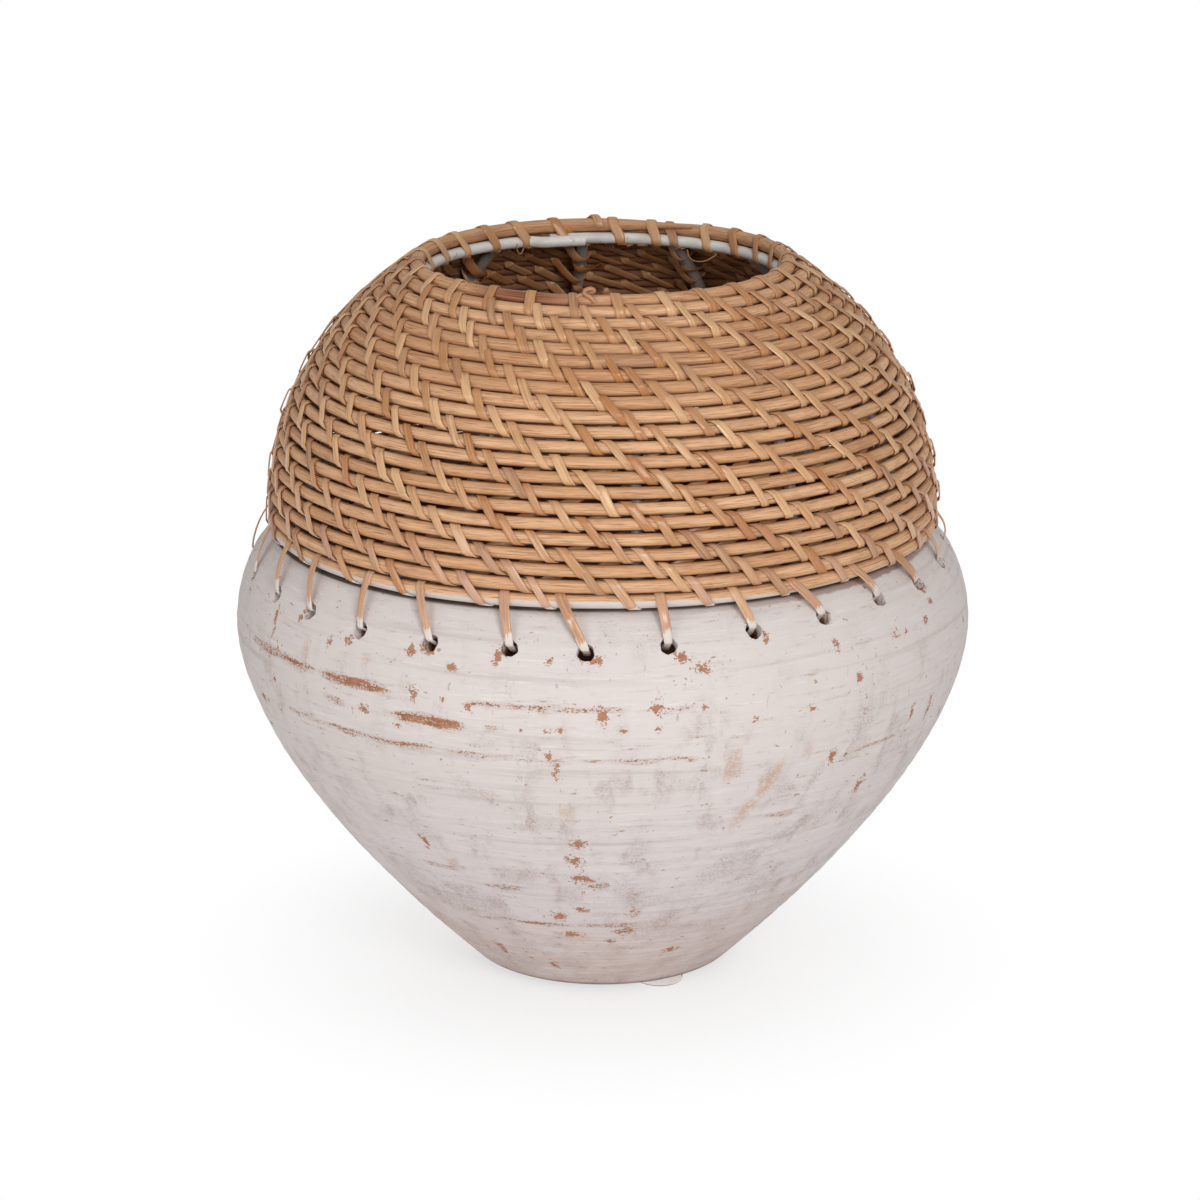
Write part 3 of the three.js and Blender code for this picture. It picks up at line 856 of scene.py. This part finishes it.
def add_coil(material):
    """One rod wound down the dome, with its join, its patch of skin and its thinned ends."""
    even = np.linspace(-COIL_TAIL, COIL_END + COIL_TAIL, COIL_STATIONS)
    t = np.sort(np.concatenate([even, SPLICE + SPLICE_FINE * np.array([-1, 0, 1])]))
    lift, out, radius = rod_at(t)
    beyond = (t >= SPLICE) & (t < SPLICE + SPLICE_GREY)
    fade = smooth((SPLICE + SPLICE_GREY - t) / SPLICE_GREY * 2) * beyond
    radius = radius * (1 + 0.05 * fade)
    out = out + SPLICE_OUT * fade
    angle = COIL_START + t * TURN
    r, z = on_dome(lift, out)
    around = np.linspace(-math.pi, math.pi, ROD_SIDES, endpoint=False)
    outward = spun(np.cos(lift), angle, np.sin(lift))
    down = spun(np.sin(lift), angle, -np.cos(lift))
    deep = (1 - ROD_OVAL) * np.cos(around)
    tall = (1 + ROD_OVAL) * np.sin(around)
    ring = deep[None, :, None] * outward[:, None] + tall[None, :, None] * down[:, None]
    middle = spun(r, angle, z)
    length = way(middle)[:, None] * MM
    grain = np.stack(np.broadcast_arrays(length, np.cos(around), np.sin(around)), -1)
    draw = default_rng(44)
    joins = np.cumsum(draw.uniform(1.2, 2.9, JOINS))
    tone = draw.uniform(0, 0.7, JOINS + 1)[np.searchsorted(joins, t).clip(0, JOINS)]
    # Wash was sprayed over the last turn from below.
    sprayed = smooth((t - (ROWS - 1.02)) / 0.04)[:, None]
    paint = sprayed * np.clip(0.5 + (around[None, :] - spray_limit(angle)[:, None]) / 2, 0, 1)
    # Painted shade: the inside is darkened, less so in the first turn, and so are the grooves between the
    # rows.
    buried = 0.2 + 0.8 * smooth((t - 0.9) / 0.25)
    above = smooth((t - 0.9) / 0.2)[:, None]
    below = smooth((ROWS - 1 - t) / 0.1)[:, None]
    # Painted shade along the grooves above and below each row.
    groove = np.where(around < 0, above, below) * bump(np.abs(around), math.pi / 2, 0.62)
    coil = Shape()
    coil.tube(middle[:, None] + ring * radius[:, None, None], grain=grain, tone=tone, paint=paint,
              skin=bump(t, SKIN_AT, SKIN_HALF) ** 0.3, grey=fade, cut=bump(t, SPLICE, CUT_HALF),
              inner=buried[:, None] * smooth((np.abs(around) - 1.0) / 1.1), groove=groove)
    dress("rattan_coil", coil.mesh("rattan_coil"), material, sharp=60)


# The cane: single stitches over two rods each, and the laces. A strip's section is given by shares of its
# width and thickness.
SECTION = np.array([(-0.5, 0.3), (-0.43, 0.8), (-0.2, 0.97), (0, 1), (0.2, 0.97), (0.43, 0.8), (0.5, 0.3),
                    (0.45, 0), (-0.45, 0)])
UPPER, LOWER, HOOP = 0, 1, 2  # what a stitch lies on: the rod above, the rod below or the top hoop
RIM = np.array(on_dome(RIM_ANGLE + RIM_LIFT / DOME_RADIUS, RIM_OUT))
TOP_HOOP = RIM - (2.2, 5.2)
LEAD = 6.0  # degrees that the stitches start ahead of their holes, with more up the dome and at the rim
LEAD_UP = 1.7
LEAD_RIM = 2.8
SLANT = 5.4  # degrees that a stitch runs on while it lies over its rods
RIB_ROOM = 5.9  # how far in a stitch has to stand to pass over a rib
RIB_MET = (0.1, 0.9)  # shares of a stitch's inside between which it passes over a rib
RIM_WIDER = 1.15
INSIDE_WIDER = 1.15
INSIDE_THINNER = 0.8
DIVE_NARROWER = 0.85  # where a stitch goes in between two rods
START_JITTER = 0.45  # degrees

# Where a stitch goes round them: angle from the outside in degrees, over 0 downwards and under 0 upwards.
OVER = [(UPPER, a) for a in range(-125, 1, 25)] + [(LOWER, a) for a in range(0, 126, 25)]
UNDER = [(LOWER, 150), (LOWER, 180), (UPPER, 180), (UPPER, 210), (UPPER, 235)]
RIM_OVER = [(HOOP, a) for a in (180, 225, 270)] + [(UPPER, a) for a in (-90, -65, -35, 0)]
RIM_OVER += [station for station in OVER if station[0] == LOWER]
RIM_UNDER = [(LOWER, 150), (LOWER, 180), (HOOP, 120), (HOOP, 150), (HOOP, 180)]
INSIDE_SHARES = (0.05, 0.18, 0.82, 0.95, 1.0)  # of the turn to the next stitch, at each station under
HANG = [(UPPER, a) for a in (-125, -100, -75, -50, -28)]  # where a lace lies on the last row

# Loose ends at the rim: turn from the front in degrees, radius, and points along, out from and above the
# rim rod.
LOOSE_ENDS = [
    (-5.2, 0.85, [(-4.4, 2.6, -0.4), (-2.8, 1.6, 2.3), (-0.2, 1.0, 3.3), (2.2, 0.8, 3.8), (3.6, 1.3, 4.8),
                  (2.4, 1.8, 5.7), (0.3, 2.0, 5.0), (0.2, 2.4, 3.7), (2.2, 2.9, 2.6), (4.0, 3.2, 0.6)]),
    (-153, 0.22, [(0, -3.4, -2.8), (1.0, -4.6, -7.0), (3.2, -5.2, -9.6), (4.8, -5.0, -7.4),
                  (4.4, -4.7, -5.2)]),
    (145, 0.3, [(-8.0, -2.6, -8.4), (-4.6, -5.4, -11.0), (0, -6.4, -11.8), (4.4, -5.6, -10.8),
                (7.4, -2.8, -8.2)]),
    (24, 0.2, [(0, 2.0, 2.0), (1.2, 3.2, 2.8), (3.2, 4.0, 2.6), (5.0, 4.0, 1.4)]),
    (-40, 0.2, [(0, 1.6, 2.4), (-0.8, 2.4, 3.2), (-2.6, 3.2, 3.4), (-4.2, 4.0, 2.4)])]
LOOSE_TURN = 100  # degrees that a chain runs back from its hole to the rim
LAST_STITCH_PAST = 0.06  # turns past the coil's last step where the last stitches still have a row below
LACE_PAST = 0.05  # turns past it where a lace still lies on the row above


def chance(*key):
    """Random draws that belong to one strip of cane."""
    return default_rng([51, *(k % 97 for k in key)])


def stitch_start(chain, row):
    """Angle where a chain's stitch comes out above that row."""
    above = ROWS - 1 - row
    extra = LEAD + LEAD_UP * min(1, above / 6) + LEAD_RIM * max(0, (4 - row) / 4) ** 2
    jitter = chance(chain % HOLES, row, 1).normal(0, START_JITTER)
    even = FRONT + HOLE_PHASE + chain * TURN / HOLES
    return even - math.radians(extra + jitter) - above * ROW_SHIFT


def laid(stations, turn, angles):
    """Radius and height of stations on the rods of that turn and the one after, or on the top hoop."""
    hold = np.array([s[0] for s in stations])
    around = np.radians([s[1] for s in stations])
    base = turn + turn_share(angles[0]) + (angles - angles[0]) / TURN
    lift, off, radius = np.where(hold == LOWER, rod_at(base + 1), rod_at(base))
    middle = np.where(hold == HOOP, TOP_HOOP[:, None], on_dome(lift, off))
    lift = np.where(hold == HOOP, RIM_ANGLE, lift)
    radius = np.where(hold == HOOP, WIRE_RADIUS, radius) + SEAT
    outward = np.array([np.cos(lift), np.sin(lift)])
    down = np.array([np.sin(lift), -np.cos(lift)])
    return (middle + radius * (np.cos(around) * outward + np.sin(around) * down)).T


def shares(stations):
    """Share of the way along a stitch at each of its stations."""
    flat = way(laid(stations, 3, np.zeros(len(stations))))
    return flat / flat[-1]


def ribbon(shape, path, width, thick, per, offset, lie=None, **marks):
    """A strip along a path of angle, radius and height.

    Its skin faces to the left of the path, or of the line of radius and height that is given as its lie.
    """
    fine = curve_through(path, per)
    course = fine[:, 1:] if lie is None else curve_through(lie, per)
    points = spun(fine[:, 1], fine[:, 0], fine[:, 2])
    steps = np.linspace(0, 1, len(fine))

    def spread(value):
        value = np.atleast_1d(value)
        return np.interp(steps, np.linspace(0, 1, len(value)), value)

    ahead = unit(np.gradient(points, axis=0))
    flow = unit(np.gradient(course, axis=0))
    face = spun(-flow[:, 1], fine[:, 0], flow[:, 0])
    side = unit(np.cross(ahead, face))
    face = np.cross(side, ahead)
    rings = points[:, None] + SECTION[None, :, :1] * spread(width)[:, None, None] * side[:, None]
    rings = rings + SECTION[None, :, 1:] * spread(thick)[:, None, None] * face[:, None]
    across = SECTION[None, :, 0] * CANE_WIDTH * MM + offset
    grain = np.stack(np.broadcast_arrays(way(points)[:, None] * MM + offset, across, offset * 37), -1)
    shape.tube(rings, grain=grain, **{key: spread(value) for key, value in marks.items()})


def strip_looks(chain, row):
    """Tone and side of a strip, and its own place in the grain."""
    draw = chance(chain % HOLES, row, 2)
    low = smooth((row - 15) / 5)
    return {
        "tone": draw.beta(1.0, 1.1),
        "pink": low * draw.uniform(0.2, 1.0) if draw.random() < 0.75 else 0.05,
        "back": draw.uniform(0.6, 1.0) if draw.random() < 0.09 else draw.uniform(0, 0.12),
        "offset": draw.uniform(0, 9),
    }


def rib_pass(angles):
    """How far in the inside of a stitch stands: over a rib that it meets, or else flat on the rods."""
    gap = TURN / RIBS
    start = angles[0]
    end = angles[-1]
    rib = (FRONT + RIB_PHASE - start) % gap / (end - start)
    if not RIB_MET[0] < rib < RIB_MET[1]:
        return np.zeros(len(angles))
    share = (angles - start) / (end - start)
    return RIB_ROOM * smooth(1.25 * np.minimum(share / rib, (1 - share) / (1 - rib)))


def add_stitch(shape, chain, row, rim):
    """Out over that row and the next, or over the rim, and on inside to where the next stitch starts."""
    draw = chance(chain % HOLES, row, 3)
    start = stitch_start(chain, row)
    after = stitch_start(chain + 1, row)
    slant = math.radians(SLANT * draw.normal(1, 0.12))
    over, under = (RIM_OVER, RIM_UNDER) if rim else (OVER, UNDER)
    front = start + slant * shares(over)
    back = front[-1] + (after - front[-1]) * np.array(INSIDE_SHARES)
    outside = np.column_stack([front, laid(over, row, front)])
    inside = np.column_stack([back, laid(under, row, back)])
    lift = RIM_ANGLE - row * ROW_ANGLE
    outward = np.array([math.cos(lift), math.sin(lift)])
    if not rim:
        slack = min(MOST_SLACK, draw.exponential(USUAL_SLACK))
        stand = slack * np.sin(math.pi * shares(over)) ** 2
        outside[:, 1:] += stand[:, None] * outward
    inside = curve_through(np.vstack([outside[-1:], inside]), 3)[1:]
    path = np.vstack([outside, inside])
    lie = path[:, 1:].copy()
    if not rim:
        path[len(over):, 1:] -= rib_pass(inside[:, 0])[:, None] * outward
    wide = CANE_WIDTH * draw.normal(1, 0.07) * (RIM_WIDER if rim else 1)
    width = np.full(len(path), wide)
    width[[0, len(over) - 1]] *= DIVE_NARROWER
    width[len(over) + 3:-3] *= INSIDE_WIDER
    thick = np.full(len(path), CANE * INSIDE_THINNER)
    thick[1:len(over) - 1] = CANE
    paint = np.zeros(len(path))
    if row == ROWS - 2:
        paint[len(over) - 5:len(over)] = (0.15, 0.62, 0.95, 1, 1)
    # Painted shade on the stretches that run inside the dome.
    inner = np.arange(len(path)) >= len(over)
    ribbon(shape, path, width, thick, 2, lie=lie, paint=paint, inner=inner, **strip_looks(chain, row))


def add_lace(shape, chain, turn):
    """From the groove above the last row, over it, down through its hole and up inside the pot."""
    draw = chance(chain % HOLES, 99)
    hole, share, lean = hole_place(chain)
    start = hole - lean
    turns = start + 0.12 * lean * np.linspace(0, 1, len(HANG))
    top = laid(HANG, turn, turns)
    mouth = shoulder_point(share + 0.03, 0.5)
    bow = draw.uniform(0.7, 1.5)
    off = np.array([bow, 0.2 * bow])
    # Share of the lean, with radius and height.
    rest = [(0.4, top[-1] * 0.67 + mouth * 0.33 + off), (0.7, top[-1] * 0.33 + mouth * 0.67 + off),
            (0.95, mouth), (0.98, shoulder_point(share + 0.025, -1.2)),
            (1.0, shoulder_point(share + 0.02, -4.5)), (1.0, shoulder_point(share + 0.03, -CLAY - 1.0)),
            (1.0, shoulder_point(share + 0.1, -CLAY - 1.8)),
            (1.0, shoulder_point(share + 0.18, -CLAY - 1.6))]
    path = np.vstack([np.column_stack([turns, top])] + [[start + q * lean, p[0], p[1]] for q, p in rest])
    wide = LACE_WIDTH * draw.normal(1, 0.05)
    width = wide * np.array([0.9, 1, 1, 1, 1, 0.95, 0.9, 0.82, 0.74, 0.7, 0.75, 0.8, 0.8])
    paint = [0.1, 0.1, 0.1, 0.15, 0.2, 0.3, 0.4, 0.75, 1, 1, 1, 0.6, 0.3]
    looks = strip_looks(chain, ROWS - 1)
    looks["pink"] = draw.uniform(0.2, 0.8)
    ribbon(shape, path, width, [CANE], 3, paint=paint, inner=0, **looks)


def add_loose_end(shape, chain, turn, radius, points):
    """A thin round end of cane at the rim."""
    along, out, up = curve_through(np.array(points, float), 6).T
    line = spun(RIM[0] + out, FRONT + math.radians(turn) + along / RIM[0], RIM[1] + up)
    looks = strip_looks(chain, 0)
    looks["tone"] = 0.9
    offset = np.full(len(line), looks.pop("offset"))
    grain = np.stack([way(line) * MM, np.zeros(len(line)), offset], -1)
    shape.tube(round_bar(line, radius, (0.3, 0.4, 0.86)), grain=grain[:, None], paint=0, inner=0, **looks)


def add_chains(material):
    """The chains of stitches, each with its lace and the loose ends that belong to it."""
    step = 1 - STEP_SHARE
    for i in range(HOLES):
        chain = Shape()
        first = -1 if turn_share(stitch_start(i, -1)) > 1 - COIL_TAIL else 0
        for row in range(first, ROWS - 1):
            if row < ROWS - 2 or turn_share(stitch_start(i, row)) < step + LAST_STITCH_PAST:
                add_stitch(chain, i, row, row == first)
        angle, _, lean = hole_place(i)
        stepped = turn_share(angle - lean) > step + LACE_PAST
        add_lace(chain, i, ROWS - 2 if stepped else ROWS - 1)
        for turn, radius, points in LOOSE_ENDS:
            if i == round((turn + LOOSE_TURN) * HOLES / 360) % HOLES:
                add_loose_end(chain, i, turn, radius, points)
        name = numbered("stitch_run", i)
        dress(name, chain.mesh(name), material, sharp=50)


# The wire frame and the pads.
HOOP_LAP = 0.1  # angle that each end of a hoop runs on past its start
TOP_LAP_AT = math.radians(102)
BOTTOM_LAP_AT = 0.4
LAP_APART = 2.04  # wire radii between the middles of the lapped ends
RIB_SEAT = 1.8  # wire radii between a rib's end and the middle of its hoop
RIB_BEND = 0.14  # angle below its upper end in which a rib bends in to the top hoop
PAD_EDGE = 0.3
PAD_GAP = 0.05  # between a pad and the clay
PAD_SIDES = 40
HOOP_STATIONS = 220
RIB_STATIONS = 60


def add_wire(name, line, up, dusty, material):
    """One round wire along a line of points."""
    wire = Shape()
    wire.tube(round_bar(line, WIRE_RADIUS, up), dusty=dusty)
    dress(name, wire.mesh(name), material, sharp=60)


def add_hoop(name, radius, z, lap_at, material):
    """A bent wire whose second end laps inside its first."""
    along = np.linspace(-HOOP_LAP, TURN + HOOP_LAP, HOOP_STATIONS)
    angle = lap_at - along
    inward = LAP_APART * WIRE_RADIUS * smooth((along - (TURN - 2.5 * HOOP_LAP)) / HOOP_LAP)
    add_wire(name, spun(radius - inward, angle, z), (0, 0, 1), 0, material)


def add_frame(material):
    """Both hoops, and the ribs bent between them."""
    add_hoop("top_hoop", TOP_HOOP[0], TOP_HOOP[1], TOP_LAP_AT, material)
    add_hoop("bottom_hoop", HOOP_RADIUS, HOOP_Z, BOTTOM_LAP_AT, material)
    high = RIM_ANGLE - RIB_SEAT * WIRE_RADIUS / FRAME_RADIUS
    low = math.asin((HOOP_Z - DOME_Z) / FRAME_RADIUS) + RIB_SEAT * WIRE_RADIUS / FRAME_RADIUS
    lift = np.linspace(high, low, RIB_STATIONS)
    r, z = on_dome(lift, FRAME_RADIUS - DOME_RADIUS)
    seat = TOP_HOOP - on_dome(RIM_ANGLE, FRAME_RADIUS - DOME_RADIUS)
    bend = smooth((lift - high) / RIB_BEND + 1)
    r = r + seat[0] * bend
    z = z + seat[1] * bend
    for i in range(RIBS):
        angle = FRONT + RIB_PHASE + i * TURN / RIBS
        across = (-math.sin(angle), math.cos(angle), 0)
        # The ribs take the painted shade; the hoops don't.
        add_wire(numbered("frame_rib", i), spun(r, angle, z), across, 1, material)


def add_pads(material):
    """Round pads with a rounded lower edge, under the foot."""
    flat = PAD_RADIUS - PAD_ROUND
    top = BASE_Z - PAD_GAP
    profile = np.vstack([[(PAD_EDGE, 0.0), (flat * 0.5, 0.0)],
                         arc(flat, PAD_ROUND, PAD_ROUND, -math.pi / 2, 0, 6),
                         [(PAD_RADIUS, top - PAD_EDGE), (PAD_RADIUS - PAD_EDGE, top), (PAD_EDGE, top)]])
    around = np.linspace(0, TURN, PAD_SIDES, endpoint=False)
    for i in range(PADS):
        middle = spun(PAD_RING, FRONT + PAD_PHASE + i * TURN / PADS, 0.0)
        pad = Shape()
        pad.tube(spun(profile[:, :1], around[None, :], profile[:, 1:]) + middle)
        name = numbered("bumper_pad", i)
        dress(name, pad.mesh(name), material, sharp=50)


add_pot(whitewash_material())
add_coil(rattan_material())
add_chains(cane_material())
add_frame(wire_material())
add_pads(pad_material())


# Floor, light and camera, in metres and watts.
FLOOR_HALF = 6.0
SHADOW_NEAR = 0.05  # distance from the vase's middle where plain white starts to take over
SHADOW_FAR = 0.19
SHADOW_WHITE = 0.65  # share of plain white inside it
SKY = 0.43
AIM = (0, 0, 0.15)
CAMERA_PLACE = (0, -1.7, 0.6539)
CAMERA_TARGET = (0, 0, 0.1516)
SENSOR = 36.0
LENS = 129.03
PHOTO_WIDTH = 1200  # pixels
PHOTO_SHIFT = -2.5  # pixels that the photograph's middle lies off the vase's


def add_floor():
    """Pale floor that takes the vase's shadow near it and shows plain white to the camera further off."""
    mesh = bpy.data.meshes.new("floor")
    corners = [(x * FLOOR_HALF, y * FLOOR_HALF, 0) for x, y in ((-1, -1), (1, -1), (1, 1), (-1, 1))]
    mesh.from_pydata(corners, [], [(0, 1, 2, 3)])
    p = Paint("floor")
    at = p.place()
    p.colour = p.mix(p.noise(at, 3, 2.0), srgb(250, 250, 250), srgb(253, 253, 253))
    p.done(Roughness=0.9, Specular_IOR_Level=0.0)
    far = p.node("ShaderNodeVectorMath", {0: at}, out="Value", operation="LENGTH")
    seen = p.ray("Camera").most(p.ray("Glossy")).most(p.ray("Transmission"))
    share = seen * far.ramp(SHADOW_NEAR, SHADOW_FAR).fit(SHADOW_WHITE, 1.0)
    lit = Value(p, p.shader.outputs[0])
    both = p.node("ShaderNodeMixShader", {0: share, 1: lit, 2: p.node("ShaderNodeEmission")})
    p.feed(p.tree.nodes["Material Output"].inputs["Surface"], both)
    mesh.materials.append(p.material)
    floor = placed("floor", mesh)


def add_lamp(name, place, size, watts):
    """A round soft lamp that looks at the vase."""
    data = bpy.data.lights.new(name, "AREA")
    data.shape = "DISK"
    data.size = size
    data.energy = watts
    lamp = placed(name, data)
    lamp.location = place
    away = np.array(place) - np.array(AIM)
    pitch = math.atan2(math.hypot(away[0], away[1]), away[2])
    lamp.rotation_euler = (pitch, 0, math.atan2(away[0], -away[1]))
    return lamp


def add_world():
    """Even white light all round, and plain white where the camera sees past the floor."""
    world = bpy.data.worlds.new("studio")
    bpy.context.scene.world = world
    world.use_nodes = True
    nodes = Nodes(world.node_tree)
    sky = world.node_tree.nodes["Background"].inputs
    sky["Color"].default_value = (1, 1, 1, 1)
    seen = nodes.ray("Camera").most(nodes.ray("Transmission"))
    nodes.feed(sky["Strength"], seen.fit(SKY, 1.0))


def add_camera():
    """Level left to right, at the photograph's place and angle."""
    data = bpy.data.cameras.new("camera")
    data.sensor_width = SENSOR
    data.lens = LENS
    data.shift_x = PHOTO_SHIFT / PHOTO_WIDTH
    data.clip_end = 50
    camera = placed("camera", data)
    camera.location = CAMERA_PLACE
    drop = CAMERA_PLACE[2] - CAMERA_TARGET[2]
    camera.rotation_euler = (math.atan2(-CAMERA_PLACE[1], drop), 0, 0)
    bpy.context.scene.camera = camera


add_floor()
add_world()
add_lamp("key", (0.65, -2.15, 1.25), size=0.9, watts=25)
add_lamp("fill", (-1.3, -1.9, 0.4), size=1.2, watts=11)
back = add_lamp("back", (0.3, 2.2, 0.7), size=1.4, watts=17)
back.visible_glossy = False
add_camera()
bpy.context.scene.view_settings.view_transform = "Standard"
